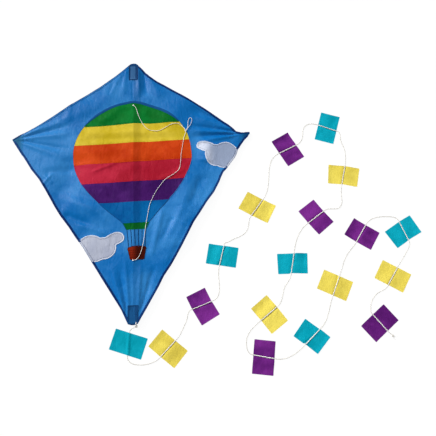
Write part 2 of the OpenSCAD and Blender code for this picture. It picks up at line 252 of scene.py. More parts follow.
def make(name, shape, material, body, node=None, sharp=50, patch=None):
    """A mesh piece that rides on a body and stands for a CAD node. patch is (a second material, True for
    each face that has it)."""
    points, faces = shape
    mesh = bpy.data.meshes.new(name)
    mesh.from_pydata([tuple(p) for p in points], [], [tuple(int(i) for i in f) for f in faces])
    mesh.validate()
    mesh.materials.append(material)
    if patch:
        mesh.materials.append(patch[0])
        mesh.polygons.foreach_set("material_index", patch[1].astype(np.int32))
    mesh.polygons.foreach_set("use_smooth", np.ones(len(mesh.polygons), bool))
    mesh.set_sharp_from_angle(angle=math.radians(sharp))
    piece = add_object(name, mesh)
    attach(piece, body)
    if node:
        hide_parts(node)
    return piece


def join(parts):
    """Several shapes as one."""
    points, faces, base = [], [], 0
    for part_points, part_faces in parts:
        points.append(np.asarray(part_points))
        faces += [[i + base for i in f] for f in part_faces]
        base += len(part_points)
    return np.concatenate(points), faces


def run_along(path):
    """Distance along a path at each of its points."""
    return np.concatenate([[0], np.cumsum(np.linalg.norm(np.diff(path, axis=0), axis=1))])


def unit(vectors):
    return vectors / np.linalg.norm(vectors, axis=-1, keepdims=True)


def level(degrees):
    """Unit vectors in plan."""
    return np.stack([np.cos(np.radians(degrees)), np.sin(np.radians(degrees))], axis=-1)


def turning(a, b):
    """Cross product of plan vectors."""
    return a[..., 0] * b[..., 1] - a[..., 1] * b[..., 0]


def bezier(a, b, c, d, count):
    t = np.linspace(0, 1, count)[:, None]
    return a * (1 - t) ** 3 + 3 * b * t * (1 - t) ** 2 + 3 * c * t**2 * (1 - t) + d * t**3


def resample(path, step, closed=False):
    """Points about step apart along a path, its first and last kept."""
    path = np.asarray(path, float)
    if closed:
        path = np.vstack([path, path[:1]])
    reach = run_along(path)
    at = np.linspace(0, reach[-1], max(2, int(round(reach[-1] / step))) + 1)
    if closed:
        at = at[:-1]
    return np.stack([np.interp(at, reach, column) for column in path.T], axis=1)


def corner_resample(outline, step):
    """A closed outline with points about step apart, with its corners kept."""
    outline = np.asarray(outline, float)
    before, after = outline - np.roll(outline, 1, 0), np.roll(outline, -1, 0) - outline
    bend = np.degrees(np.abs(np.arctan2(turning(before, after), (before * after).sum(1))))
    corners = np.nonzero(bend > CORNER_TURN)[0]
    if not len(corners):
        return resample(outline, step, closed=True)
    made = []
    for a, b in zip(corners, np.roll(corners, -1)):
        stop = b if b > a else b + len(outline)
        made.append(resample(outline[np.arange(a, stop + 1) % len(outline)], step)[:-1])
    return np.concatenate(made)


def inside(points, outline):
    """True for each point that is inside a closed outline."""
    x, y = points[:, 0:1], points[:, 1:2]
    ax, ay = outline.T
    bx, by = np.roll(ax, -1), np.roll(ay, -1)
    with np.errstate(divide="ignore", invalid="ignore"):
        at = (bx - ax) * (y - ay) / (by - ay) + ax
    return (((ay > y) != (by > y)) & (x < at)).sum(1) % 2 == 1


def clearance(points, outline):
    """Distance of each point from an outline."""
    best = np.full(len(points), np.inf)
    for a, b in zip(outline, np.roll(outline, -1, 0)):
        d = b - a
        t = np.clip(((points - a) @ d) / max(d @ d, 1e-12), 0, 1)
        best = np.minimum(best, np.linalg.norm(points - a - t[:, None] * d, axis=1))
    return best


def fill(outline, step):
    """Flat triangles that fill an outline: (N by 2 points, faces)."""
    rim = corner_resample(outline, step)
    low, high = rim.min(0), rim.max(0)
    grid = [[x + step / 2 * (k % 2), y] for k, y in enumerate(np.arange(low[1], high[1], step * 0.866))
            for x in np.arange(low[0], high[0], step)]
    grid = np.array(grid).reshape(-1, 2)
    grid = grid[inside(grid, rim)]
    flat = np.vstack([rim, grid[clearance(grid, rim) > 0.55 * step]])
    made = delaunay_2d_cdt([Vector(p) for p in flat], [], [list(range(len(rim)))], 1, 1e-7)
    return np.array([list(v) for v in made[0]]), [list(f) for f in made[2]]


def close_sheet(faces, count):
    """The faces of a closed sheet: faces on top, the same ones count points later beneath, and a rim."""
    used = {(a, b): True for f in faces for a, b in zip(f, f[1:] + f[:1])}
    rim = [[a, a + count, b + count, b] for a, b in used if (b, a) not in used]
    return faces + [[i + count for i in reversed(f)] for f in faces] + rim


def thicken(points, faces, depth):
    """A sheet as thick as depth, with faces on top."""
    return np.vstack([points, points - UP * depth]), close_sheet(faces, len(points))


def cloth_patch(outline, step, lift):
    """A sheet cut to a flat outline that lies on the sail."""
    flat, faces = fill(outline, step)
    a, b, c = flat[np.array(faces)].transpose(1, 0, 2)
    if turning(b - a, c - a).sum() < 0:
        faces = [f[::-1] for f in faces]
    return thicken(on_cloth(flat, lift), faces, CLOTH_T)


def grid_shell(grid, depth):
    """A closed sheet from a grid of points, rows by columns, depth thick on its inner side."""
    rows, columns = grid.shape[:2]
    normal = np.cross(np.gradient(grid, axis=0), np.gradient(grid, axis=1))
    normal /= np.maximum(np.linalg.norm(normal, axis=2), 1e-12)[..., None]
    if normal[rows // 2, 2, 2] < 0:
        normal = -normal
    points = np.concatenate([grid.reshape(-1, 3), (grid - normal * depth).reshape(-1, 3)])
    faces = [[i * columns + j + k for k in (0, columns, columns + 1, 1)]
             for i in range(rows - 1) for j in range(columns - 1)]
    a, b = points[faces[0][1]] - points[faces[0][0]], points[faces[0][3]] - points[faces[0][0]]
    if np.cross(a, b) @ normal[0, 0] < 0:
        faces = [f[::-1] for f in faces]
    return points, close_sheet(faces, rows * columns)


def tube_faces(rings, sides, closed=False):
    """The faces of a tube, with its ends capped unless it is closed."""
    faces = []
    for i in range(rings if closed else rings - 1):
        a, b = i * sides, (i + 1) % rings * sides
        faces += [[a + k, b + k, b + (k + 1) % sides, a + (k + 1) % sides] for k in range(sides)]
    if not closed:
        faces += [list(range(sides)), [(rings - 1) * sides + k for k in range(sides - 1, -1, -1)]]
    return faces


def sweep(path, sections, closed=False, up=UP):
    """A tube through path. sections is N by M by 2: M points round each station, to the left and up."""
    path = np.asarray(path, float)
    ahead = unit(np.roll(path, -1, 0) - np.roll(path, 1, 0) if closed else np.gradient(path, axis=0))
    left = unit(np.cross(up, ahead))
    rise = np.cross(ahead, left)
    sections = np.broadcast_to(sections, (len(path),) + np.shape(sections)[-2:])
    points = path[:, None] + left[:, None] * sections[..., :1] + rise[:, None] * sections[..., 1:]
    return points.reshape(-1, 3), tube_faces(*sections.shape[:2], closed)


def round_section(radius, sides=8):
    return radius * level(np.arange(sides) * 360 / sides)


def laid_cord(path, diameter, pitch, up=UP):
    """A laid cord, whose strands wind round it."""
    sides = np.arange(12) * math.pi / 6
    wind = run_along(path)[:, None] / pitch * 2 * math.pi
    radius = diameter / 2 * (1 - LAY_DEPTH + LAY_DEPTH * np.abs(np.cos(STRANDS * (sides - wind) / 2)))
    return sweep(path, radius[..., None] * round_section(1, 12), up=up)


def shrink(line, gap):
    """A plan line moved sideways by gap, to its left."""
    ahead = unit(np.gradient(np.asarray(line, float), axis=0))
    return line + np.column_stack([-ahead[:, 1], ahead[:, 0]]) * gap


def satin(line, width, height, lift=PANEL_LIFT):
    """A raised band of satin stitches along a plan line on the sail: its threads show as ribs across it."""
    plan = resample(line, 0.7 * MM)
    places = run_along(line)
    width = np.interp(np.linspace(0, places[-1], len(plan)), places, np.broadcast_to(width, len(line)))
    section = np.vstack([level(np.linspace(0, 180, 7)), [[-1, -0.5], [1, -0.5]]])
    rib = np.where(np.arange(len(plan)) % 2, 0.86, 1.0)
    scale = np.column_stack([width / 2 * (0.94 + 0.06 * rib), height * rib])[:, None]
    return sweep(on_cloth(plan, lift), section * scale)


def fold_strip(line, width, height, lift):
    """A low flat ridge along a plan line on the sail, as a seam's folded edge makes."""
    half = np.array([[0.5, -0.4], [0.5, 0.4], [0.36, 0.9]])
    section = np.vstack([half, [[0, 1.0]], half[::-1] * [-1, 1]])
    return sweep(on_cloth(resample(line, 2 * MM), lift), section * [width, height])


# The five stations of one stitch: place along the rail, height and thickness.
STITCH_AT = np.array([0.0, 0.72, 1.44, 2.16, 2.95])
STITCH_RISE = np.array([0.0, 0.75, 1.0, 0.75, 0.0]) * 1.1
STITCH_SIZE = np.array([0.35, 1, 1, 1, 0.35])


def stitch_row(line, radius, length, lift=PANEL_LIFT):
    """Separate lockstitches along a plan line on the sail, each a low arch of thread."""
    rail = on_cloth(resample(line, length * 1.35 / 4), lift)
    low = np.arange(0, len(rail) - 4, 4)[:, None] + np.floor(STITCH_AT).astype(int)
    share = (STITCH_AT % 1)[:, None]
    path = rail[low] * (1 - share) + rail[low + 1] * share + UP * (STITCH_RISE * radius)[:, None]
    ahead = unit(np.gradient(path, axis=1))
    left = unit(np.cross(UP, ahead))
    across, high = round_section(1, 6).T[..., None]
    ringed = left[:, :, None] * across + np.cross(ahead, left)[:, :, None] * high
    points = path[:, :, None] + ringed * (STITCH_SIZE * radius)[:, None, None]
    one = tube_faces(5, 6)
    return points.reshape(-1, 3), [[i + 30 * k for i in f] for k in range(len(path)) for f in one]


# ---- Materials ----

WEAVE_PITCH = 0.7 * MM
THREAD_PITCH = 1.1 * MM
CRINKLE = 0.5


class Look:
    """A material as it is put together. Its methods add a node and return what comes out of it."""

    def __init__(self, name, colour, roughness, specular):
        self.material = bpy.data.materials.new(name)
        self.material.use_nodes = True
        self.tree = self.material.node_tree
        self.shader = self.tree.nodes["Principled BSDF"]
        self.feed(self.shader, {"Base Color": (*colour, 1), "Roughness": roughness,
                                "Specular IOR Level": specular})

    def feed(self, node, values):
        """Sets or links some of a node's inputs."""
        for key, value in values.items():
            if isinstance(value, bpy.types.NodeSocket):
                self.tree.links.new(value, node.inputs[key])
            else:
                node.inputs[key].default_value = value

    def add(self, kind, values=None):
        node = self.tree.nodes.new("ShaderNode" + kind)
        self.feed(node, values or {})
        return node

    def where(self):
        return self.add("TexCoord").outputs["Object"]

    def across(self, where):
        return self.add("SeparateXYZ", {0: where}).outputs["X"]

    def stretched(self, where, scale):
        return self.add("Mapping", {"Vector": where, "Scale": scale}).outputs["Vector"]

    def noise(self, where, scale, detail=3.0, distortion=0.0):
        values = {"Vector": where, "Scale": scale, "Detail": detail, "Distortion": distortion}
        return self.add("TexNoise", values).outputs["Fac"]

    def maths(self, operation, a, b):
        node = self.add("Math", {0: a, 1: b})
        node.operation = operation
        return node.outputs[0]

    def step(self, value, low, high):
        node = self.add("MapRange")
        node.interpolation_type = "SMOOTHSTEP"
        self.feed(node, {"From Min": low, "From Max": high, "Value": value})
        return node.outputs["Result"]

    def mix(self, share, a, b):
        node = self.add("Mix")
        node.data_type = "RGBA"
        a, b = ((*c, 1) if isinstance(c, tuple) else c for c in (a, b))
        self.feed(node, {"Factor": share, "A": a, "B": b})
        return node.outputs["Result"]

    def bump(self, height, distance, strength, under=None):
        values = {"Distance": distance, "Strength": strength, "Height": height}
        if under is not None:
            values["Normal"] = under
        return self.add("Bump", values).outputs["Normal"]

    def weave(self, where, pitch):
        """Plain weave: threads across and along, pitch apart."""
        values = {"Vector": where, "Scale": math.pi / 10 / pitch, "Distortion": 0.0}
        made = []
        for direction in "XY":
            threads = self.add("TexWave", values)
            threads.bands_direction = direction
            made.append(threads.outputs["Fac"])
        return self.maths("MAXIMUM", *made)

    def done(self, colour, normal, **more):
        self.feed(self.shader, {"Base Color": colour, "Normal": normal, **more})
        return self.material


def nylon(name, deep, light, roughness=0.42, rod_shadow=False, shine=0.03, fade=None):
    """Thin woven nylon, from a deep to a light shade. With rod_shadow, a painted shadow of the spine darkens
    it beside the rod. fade is (x where it starts, x where it is complete, the colour that it ends in)."""
    look = Look(name, deep, roughness, shine)
    where = look.where()
    cloudy = look.maths("MULTIPLY", look.noise(where, 7, 2, 0.5), 0.75)
    fine = look.maths("MULTIPLY", look.noise(where, 55, 4, 0.4), 0.25)
    colour = look.mix(look.step(look.maths("ADD", cloudy, fine), 0.38, 0.62), deep, light)
    if rod_shadow:
        # Painted shadow of the spine: a darker stripe just right of the rod, as if seen through the thin
        # cloth.
        x = look.across(where)
        rod_shadow_share = look.maths("SUBTRACT", look.step(x, -2 * MM, 3 * MM), look.step(x, 13 * MM, 26 * MM))
        colour = look.mix(look.maths("MULTIPLY", rod_shadow_share, 0.45), colour, tuple(c * 0.62 for c in deep))
    if fade:
        start, stop, last = fade
        share = look.step(look.across(where), min(start, stop), max(start, stop))
        colour = look.mix(share, *((colour, last) if stop > start else (last, colour)))
    streaks = look.noise(look.stretched(where, (1.0, 0.35, 1.0)), 60, 4, 1.5)
    normal = look.bump(streaks, 2.5 * MM, CRINKLE)
    normal = look.bump(look.noise(where, 38, 5, 1.2), 1.4 * MM, CRINKLE, normal)
    normal = look.bump(look.noise(where, 160, 3, 0.3), 0.25 * MM, CRINKLE, normal)
    return look.done(colour, look.bump(look.weave(where, WEAVE_PITCH), 0.06 * MM, 0.35, normal))


def thread(name, colour):
    """Stitching and cord: fine fibres, a little fuzzy."""
    look = Look(name, colour, 0.75, 0.1)
    where = look.where()
    shade = look.mix(look.noise(where, 900), tuple(c * 0.87 for c in colour), colour)
    return look.done(shade, look.bump(look.noise(where, 0.9 / THREAD_PITCH, 4), 0.2 * MM, 0.6))


def moulded(name, colour, roughness, grain):
    """Moulded plastic or vinyl with a fine grain and rubbed spots."""
    look = Look(name, colour, roughness, 0.5)
    where = look.where()
    worn = tuple(min(1.0, c * 1.5 + 0.02) for c in colour)
    shade = look.mix(look.step(look.noise(where, 140, 4), 0.5, 0.75), colour, worn)
    rough = look.add("MapRange", {"To Min": roughness - 0.08, "To Max": roughness + 0.12,
                                  "Value": look.noise(where, 300)})
    normal = look.bump(look.noise(where, grain), 0.1 * MM, 0.4)
    return look.done(shade, normal, Roughness=rough.outputs["Result"])


def rod_fibre():
    """Pultruded glass fibre: pale, satin, with fibres along the rod."""
    look = Look("rod_fibre", (0.62, 0.6, 0.5), 0.35, 0.5)
    fibres = look.noise(look.stretched(look.where(), (60, 60, 2400)), 1, 4)
    shade = look.mix(fibres, (0.5, 0.47, 0.36), (0.74, 0.72, 0.63))
    return look.done(shade, look.bump(fibres, 0.1 * MM, 0.3))


SAIL_BLUE = nylon("sail_blue", (0.001, 0.135, 0.43), (0.026, 0.21, 0.54), 0.38, rod_shadow=True, shine=0.1)
HEM_NAVY = nylon("hem_navy", (0.002, 0.022, 0.12), (0.008, 0.05, 0.2), 0.5)
POCKET_NAVY = nylon("pocket_navy", (0.004, 0.035, 0.12), (0.008, 0.06, 0.18), 0.55)
CLOUD_LEFT = nylon("cloud_left_white", (0.38, 0.41, 0.52), (0.52, 0.55, 0.65), 0.5)
# The right cloud's white cloth darkens towards the kite's right edge: painted shade, where the sail slopes
# away from the light.
CLOUD_RIGHT_SHADE_PAINTED = nylon("cloud_right_white_painted_shade", (0.5, 0.55, 0.68), (0.66, 0.7, 0.82), 0.5,
                    fade=(186 * MM, 222 * MM, (0.29, 0.35, 0.49)))
CLOUD_HEM = nylon("cloud_hem", (0.42, 0.46, 0.58), (0.6, 0.64, 0.75), 0.5)
BAND_GREEN = nylon("band_green", (0.0008, 0.125, 0.012), (0.003, 0.195, 0.03), rod_shadow=True)
MOUTH_GREEN = nylon("mouth_green", (0.0003, 0.075, 0.007), (0.001, 0.12, 0.016), rod_shadow=True)
BAND_YELLOW = nylon("band_yellow", (0.54, 0.4, 0.012), (0.72, 0.55, 0.05), rod_shadow=True)
BAND_ORANGE = nylon("band_orange", (0.47, 0.03, 0.001), (0.64, 0.065, 0.008), rod_shadow=True)
BAND_RED = nylon("band_red", (0.36, 0.008, 0.024), (0.5, 0.02, 0.05), rod_shadow=True)
BAND_PURPLE = nylon("band_purple", (0.035, 0.004, 0.085), (0.075, 0.012, 0.15), rod_shadow=True)
BAND_BLUE = nylon("band_blue", (0.0, 0.065, 0.26), (0.001, 0.125, 0.37), rod_shadow=True)
BASKET_RED = nylon("basket_red", (0.15, 0.009, 0.002), (0.26, 0.02, 0.004), 0.6,
                   fade=(-4 * MM, 12 * MM, (0.05, 0.004, 0.001)))
FLAG_TEAL = nylon("flag_teal", (0.0, 0.3, 0.4), (0.004, 0.39, 0.51), 0.5)
FLAG_YELLOW = nylon("flag_yellow", (0.7, 0.56, 0.075), (0.86, 0.71, 0.115), 0.5)
FLAG_PURPLE = nylon("flag_purple", (0.1, 0.01, 0.15), (0.2, 0.025, 0.26), 0.5)
POCKET_LIGHT = nylon("pocket_light", (0.03, 0.11, 0.26), (0.07, 0.17, 0.36), 0.45)
POCKET_DEEP = nylon("pocket_deep", (0.006, 0.06, 0.18), (0.01, 0.085, 0.24), 0.5)
# The two tip patches are one cloth, painted as a lit copy on the left and a shaded copy on the right. Each
# also darkens towards its tip.
TIP_LEFT_PAINTED_LIGHT = nylon("tip_left_painted_light", (0.008, 0.155, 0.44), (0.026, 0.205, 0.51), 0.5,
                 fade=(-290 * MM, -312 * MM, (0.02, 0.12, 0.24)))
TIP_RIGHT_PAINTED_SHADE = nylon("tip_right_painted_shade", (0.004, 0.12, 0.35), (0.014, 0.16, 0.42), 0.5,
                  fade=(286 * MM, 304 * MM, (0.004, 0.055, 0.15)))
BASKET_THREAD = thread("basket_thread", (0.04, 0.004, 0.001))
ROPE_DARK = thread("rope_dark", (0.005, 0.04, 0.15))
OUTLINE_BLUE = thread("outline_blue", (0.002, 0.075, 0.25))
OUTLINE_SAIL = thread("outline_sail", (0.02, 0.19, 0.5))
STITCH_NAVY = thread("stitch_navy", (0.006, 0.025, 0.12))
STITCH_WHITE = thread("stitch_white", (0.78, 0.83, 0.94))
STITCH_GREY = thread("stitch_grey", (0.14, 0.15, 0.24))
CORD_WHITE = thread("cord_white", (0.98, 0.97, 0.93))
CORD_NATURAL = thread("cord_natural", (0.74, 0.71, 0.65))
ROD_FIBRE = rod_fibre()
JOINT_VINYL = moulded("joint_vinyl", (0.012, 0.012, 0.014), 0.5, 900)
CAP_BLACK = moulded("cap_black", (0.008, 0.008, 0.008), 0.38, 1200)

# ---- Cord routes, as in the CAD ----

ROUTE_EASE = 0.36
KNOT_REACH = 2.3 * MM
BRIDLE_D = 1.2 * MM
UPPER_HOLE_Y = 0.228
LOWER_HOLE_Y = -0.2

# Each row is [x, y, heading in degrees, half length of the straight stretch there]
BRIDLE_ROUTE = [
    [0, UPPER_HOLE_Y, -42, KNOT_REACH], [0.013, 0.2, -72, 0], [0.028, 0.168, -58, 0],
    [0.051, 0.151, -12, 0], [0.072, 0.151, 18, 0], [0.094, 0.163, 28, 0], [0.116, 0.1685, 0, 0],
    [0.13, 0.162, -48, 0], [0.141, 0.147, -80, 0], [0.136, 0.1275, -103, 0], [0.1285, 0.086, -98, 0],
    [0.124, 0.046, -98, 0], [0.114, 0.03, -140, 0], [0.088, 0.014, -148, 0], [0.07, -0.005, -127, 0],
    [0.047, -0.045, -115, 0], [0.0365, -0.088, -101, 0], [0.0265, -0.153, -99, 0], [0.015, -0.191, -116, 0],
    [0, LOWER_HOLE_Y, -182, KNOT_REACH],
]
TOW_KNOT_AT = (0.141, 0.147)
LOOP_ROUTE = [
    [0.142, 0.1494, 55, 0], [0.1475, 0.163, 86, 0], [0.1495, 0.179, 72, 0], [0.1545, 0.1845, 0, 0],
    [0.1588, 0.178, -98, 0], [0.152, 0.161, -124, 0], [0.1436, 0.148, -120, 0],
]
FLAG_RUN = 0.029
TAIL_ROUTE = [
    [0.008, -0.363, -150, KNOT_REACH], [-0.012, -0.404, -95, FLAG_RUN], [0.084, -0.419, 45, FLAG_RUN],
    [0.129, -0.357, 62, 0], [0.17, -0.318, 20, FLAG_RUN], [0.224, -0.195, 75, FLAG_RUN],
    [0.246, -0.159, 30, 0], [0.292, -0.132, 58, 0], [0.322, -0.072, 52, FLAG_RUN],
    [0.414, 0.087, 25, FLAG_RUN], [0.458, 0.132, 88, 0], [0.464, 0.1495, 52, 0],
    [0.526, 0.144, -22, FLAG_RUN], [0.559, 0.105, -77, 0], [0.567, 0.07, -90, 0],
    [0.556, 0.008, -105, FLAG_RUN], [0.545, -0.062, -88, 0], [0.528, -0.084, -178, 0],
    [0.473, -0.104, -145, FLAG_RUN], [0.403, -0.222, -102, FLAG_RUN], [0.377, -0.285, -113, 0],
    [0.335, -0.345, -143, FLAG_RUN], [0.275, -0.4125, -93, 0], [0.316, -0.447, -12, FLAG_RUN],
    [0.438, -0.405, 42, FLAG_RUN], [0.508, -0.283, 66, FLAG_RUN], [0.543, -0.2065, 56, 0],
    [0.585, -0.152, 56, FLAG_RUN], [0.65, -0.11, -2, 0], [0.696, -0.15, -70, FLAG_RUN],
    [0.696, -0.2035, -121, 0], [0.653, -0.265, -124, FLAG_RUN], [0.605, -0.309, -137, 0],
    [0.588, -0.3405, -94, 0], [0.607, -0.378, -52, FLAG_RUN], [0.634, -0.41, -50, KNOT_REACH],
]
TAIL_D = 2 * MM
TAIL_Z = 1.65 * MM
TAIL_START_Z = 6 * MM
TAIL_TIE_AT = (0.008, -0.3565, 0.0108)
TAIL_TIE_R = 3.2 * MM
FLAG_TURN = [-15, 5, 12, 14, 5, 8, 7, 7, 6, 17, -2, 5, 17, -8, 7, 15, 5, 4]


def route_line(rows, step):
    """Points down a route: straight stretches, joined by curves that keep their headings."""
    made = []
    for i, (x, y, heading, half) in enumerate(rows):
        ahead = level(heading)
        enter, leave = np.array([x, y]) - ahead * half, np.array([x, y]) + ahead * half
        if i:
            reach = np.linalg.norm(enter - start)
            bends = start + before * reach * ROUTE_EASE, enter - ahead * reach * ROUTE_EASE
            made.append(bezier(start, *bends, enter, max(3, int(reach / step)) + 1)[1:-1])
            made.append(resample([enter, leave], step) if half > 0 and i < len(rows) - 1 else [enter])
        else:
            made.append([leave])
        start, before = leave, ahead
    return resample(np.concatenate(made), step)


def cord_on_cloth(line):
    """Lays a plan line of the bridle on the sail, over its small folds."""
    z = cloth_z(line[:, 0], line[:, 1]) + PANEL_LIFT + 0.5 * MM + BRIDLE_D / 2
    z = np.convolve(np.pad(z, 4, mode="edge"), np.ones(9) / 9, "valid")
    return np.column_stack([line, z])


def knot(at, radius, cord_radius, turn=0.0):
    """An overhand knot drawn tight, as a trefoil."""
    t = np.linspace(0, 2 * math.pi, 72, endpoint=False)
    size = (radius - cord_radius * 0.6) / 3
    x, y = np.sin(t) + 2 * np.sin(2 * t), np.cos(t) - 2 * np.cos(2 * t)
    c, s = math.cos(turn), math.sin(turn)
    z = -np.sin(3 * t) * cord_radius * 0.75
    path = np.column_stack([(x * c - y * s) * size, (x * s + y * c) * size, z])
    return sweep(path + at, round_section(cord_radius * 0.95), closed=True)


def ring(at, radius, cord_radius, axis):
    """A loop of cord about axis 0 or 1."""
    path = np.insert(round_section(radius, 48), axis, 0, axis=1) + at
    return sweep(path, round_section(cord_radius), closed=True, up=np.eye(3)[axis])


# ---- The cords ----

BRIDLE_LAY = 5 * MM
TAIL_LAY = 6 * MM
TAIL_DROP_RUN = 20 * MM

bridle_path = cord_on_cloth(route_line(BRIDLE_ROUTE, 1.2 * MM))
bridle_line = make("bridle_cord", laid_cord(bridle_path, BRIDLE_D, BRIDLE_LAY), CORD_WHITE, "bridle",
                   "bridle_line")
tow_knot_z = float(cloth_z(*TOW_KNOT_AT)) + PANEL_LIFT + 2.0 * MM
tow_knot = make("tow_knot_tied", knot((*TOW_KNOT_AT, tow_knot_z), 3.0 * MM, BRIDLE_D / 2), CORD_WHITE,
                "bridle", "tow_knot")
# The loop's second leg rises over its first where they meet at the knot.
loop_path = cord_on_cloth(route_line(LOOP_ROUTE, 1.0 * MM))
share = np.arange(len(loop_path)) / len(loop_path)
loop_path[:, 2] += 1.3 * MM * ease((share - 0.75) / 0.1) * ease((1 - share) / 0.06)
tow_loop = make("tow_loop_cord", laid_cord(loop_path, BRIDLE_D, BRIDLE_LAY), CORD_WHITE, "bridle",
                "tow_loop")

tail_plan = route_line(TAIL_ROUTE, 1.6 * MM)
tail_drop = (TAIL_START_Z - TAIL_Z) * (1 - ease(run_along(tail_plan) / TAIL_DROP_RUN))
tail_path = np.column_stack([tail_plan, TAIL_Z + tail_drop])
tail_cord = make("tail_cord", laid_cord(tail_path, TAIL_D, TAIL_LAY), CORD_NATURAL, "tail", "tail_line")
tail_knot = make("tail_knot_tied", knot((*TAIL_ROUTE[0][:2], TAIL_START_Z), 3.2 * MM, TAIL_D / 2, 0.6),
                 CORD_NATURAL, "tail", "tail_knot")


def frayed_end(x, y, heading):
    """The last knot, with the cord's strands splayed out beyond it."""
    parts = [knot((x, y, 2.0 * MM), 3.0 * MM, TAIL_D / 2, 0.3)]
    for k, swing in enumerate((-34, -18, -6, 8, 21, 37)):
        reach = (7 + 2.4 * ((k * 7) % 3)) * MM
        t = np.linspace(0, 1, 9)
        steps = level(heading + swing + 14 * math.sin(k * 2.1) * t) * reach / 8
        plan = np.array([x, y]) + np.vstack([[0, 0], np.cumsum(steps, axis=0)[:-1]])
        thin = (0.34 - 0.22 * t)[:, None, None] * MM * round_section(1.0, 5)
        parts.append(sweep(np.column_stack([plan, 1.9 * MM - 1.4 * MM * ease(t * 1.4)]), thin))
    return join(parts)


tail_end = make("tail_end_fray", frayed_end(*TAIL_ROUTE[-1][:3]), CORD_NATURAL, "tail", "tail_end_knot")

TIE_R = ROD_R + 1.2 * MM
for tie, hole_y in (("bridle_tie_upper", UPPER_HOLE_Y), ("bridle_tie_lower", LOWER_HOLE_Y)):
    face = float(cloth_z(0, hole_y)) + PANEL_LIFT
    post = np.linspace((0, hole_y, SPINE_Z + TIE_R), (0, hole_y, face + 1.2 * MM), 12)
    parts = [ring((0, hole_y, SPINE_Z), TIE_R, BRIDLE_D / 2, 1),
             laid_cord(post, BRIDLE_D, BRIDLE_LAY, up=np.eye(3)[0]),
             knot((0, hole_y, face + 1.6 * MM), 2.2 * MM, BRIDLE_D / 2 * 0.8, 0.9)]
    make(f"{tie}_cord", join(parts), CORD_WHITE, "kite", tie)
make("tail_tie_cord", ring(TAIL_TIE_AT, TAIL_TIE_R, 0.9 * MM, 0), CORD_WHITE, "kite", "tail_tie")

# ---- The sail ----


def sew(name, shape, material, node=None, sharp=50, patch=None):
    """Makes a piece that belongs to the sail and folds with it."""
    make(name, shape, material, "kite", node, sharp, patch)


def diamond(inset):
    """The cut sail's outline, moved in by inset, anticlockwise from the tail end."""
    upper_in = unit(np.array([TIP[1] - SHOULDER[1], SHOULDER[0] - TIP[0]]))
    lower_in = unit(np.array([HEEL[1] - TIP[1], TIP[0] - HEEL[0]]))
    corner = TIP + (upper_in + lower_in) * inset / (1 + upper_in @ lower_in)
    t = np.linspace(0, 1, 41)[1:, None]
    lower = TIP + (HEEL - TIP) * t + lower_in * (inset + EDGE_HOLLOW * 4 * t * (1 - t))
    drop = inset / abs(upper_in[1])
    top, foot = [0, HALF_H - drop - 3 * MM], [0, -HALF_H + inset]
    half = np.vstack([top, SHOULDER - [0, drop], corner, lower, foot])
    return np.vstack([half, half[1:-1][::-1] * [-1, 1]])[::-1]


sail = make("sail_cloth", cloth_patch(diamond(1.5 * MM), CLOTH_STEP, 0.0), SAIL_BLUE, "kite", "sail")

# ---- Balloon ----

BALLOON_AT = np.array([-1, 88]) * MM
BALLOON_LEAN = math.radians(1.5)
BALLOON_R = 158 * MM
CROWN_H = 152 * MM
BAND_H = 55 * MM
FIRST_BAND = 88 * MM
LAST_BAND = FIRST_BAND - 4 * BAND_H
THROAT = np.array([35, -189]) * MM
MOUTH_FOOT = np.array([26, -208]) * MM


def envelope_side():
    """Right side of the envelope from the crown to the throat."""
    low = math.radians(-30)
    a = np.linspace(math.pi / 2, low, 60)
    crown = np.stack([BALLOON_R * np.cos(a), CROWN_H * np.sin(a)], axis=1)
    leave = unit(np.array([BALLOON_R * math.sin(low), -CROWN_H * math.cos(low)])) * 45 * MM
    arrive = unit(np.array([-1, -1.05])) * 42 * MM
    return np.vstack([crown, bezier(crown[-1], crown[-1] + leave, THROAT - arrive, THROAT, 30)[1:]])


ENVELOPE = envelope_side()


def half_width(height):
    return np.interp(-height, -ENVELOPE[:, 1], ENVELOPE[:, 0])


def on_balloon(points):
    c, s = math.cos(BALLOON_LEAN), math.sin(BALLOON_LEAN)
    return np.asarray(points, float) @ np.array([[c, s], [-s, c]]) + BALLOON_AT


def band_outline(low, high):
    """The envelope between two heights, anticlockwise."""
    keep = (ENVELOPE[:, 1] < high) & (ENVELOPE[:, 1] > low)
    side = np.vstack([[half_width(high), high], ENVELOPE[keep], [half_width(low), low]])
    if high < CROWN_H:
        return on_balloon(np.vstack([side * [-1, 1], side[::-1]]))
    return on_balloon(np.vstack([side[1:] * [-1, 1], side[:0:-1], [[0, CROWN_H]]]))


BANDS = [("balloon_crown", BAND_GREEN), ("balloon_band_yellow", BAND_YELLOW),
         ("balloon_band_orange", BAND_ORANGE), ("balloon_band_red", BAND_RED),
         ("balloon_band_purple", BAND_PURPLE), ("balloon_skirt", BAND_BLUE)]
BAND_EDGES = [CROWN_H] + [FIRST_BAND - k * BAND_H for k in range(5)] + [THROAT[1]]
for (node, cloth), high, low in zip(BANDS, BAND_EDGES, BAND_EDGES[1:]):
    sew(f"{node}_panel", cloth_patch(band_outline(low, high), CLOTH_STEP, PANEL_LIFT), cloth, node)
mouth = on_balloon([THROAT * [-1, 1], MOUTH_FOOT * [-1, 1], MOUTH_FOOT, THROAT])
sew("balloon_mouth_panel", cloth_patch(mouth, 4 * MM, PANEL_LIFT), MOUTH_GREEN, "balloon_mouth")


# ---- Clouds ----

# Each puff is [x, y, radius] from the cloud's middle, in millimetres. The left cloud is the right one's
# mirror image, except that it is lower and its small lobe is fuller.
BODY_PUFFS = [[-3, -3, 30], [27, 3.5, 31], [17, -12, 27]]
RIGHT_LOBE = [[-41, 25, 12.8], [-33, 25, 12.8], [-27, 23, 13.4], [-18, 19.5, 13.5]]
LEFT_LOBE = [[-37, 25, 16], [-31, 25, 15], [-20, 18.5, 14.5]]
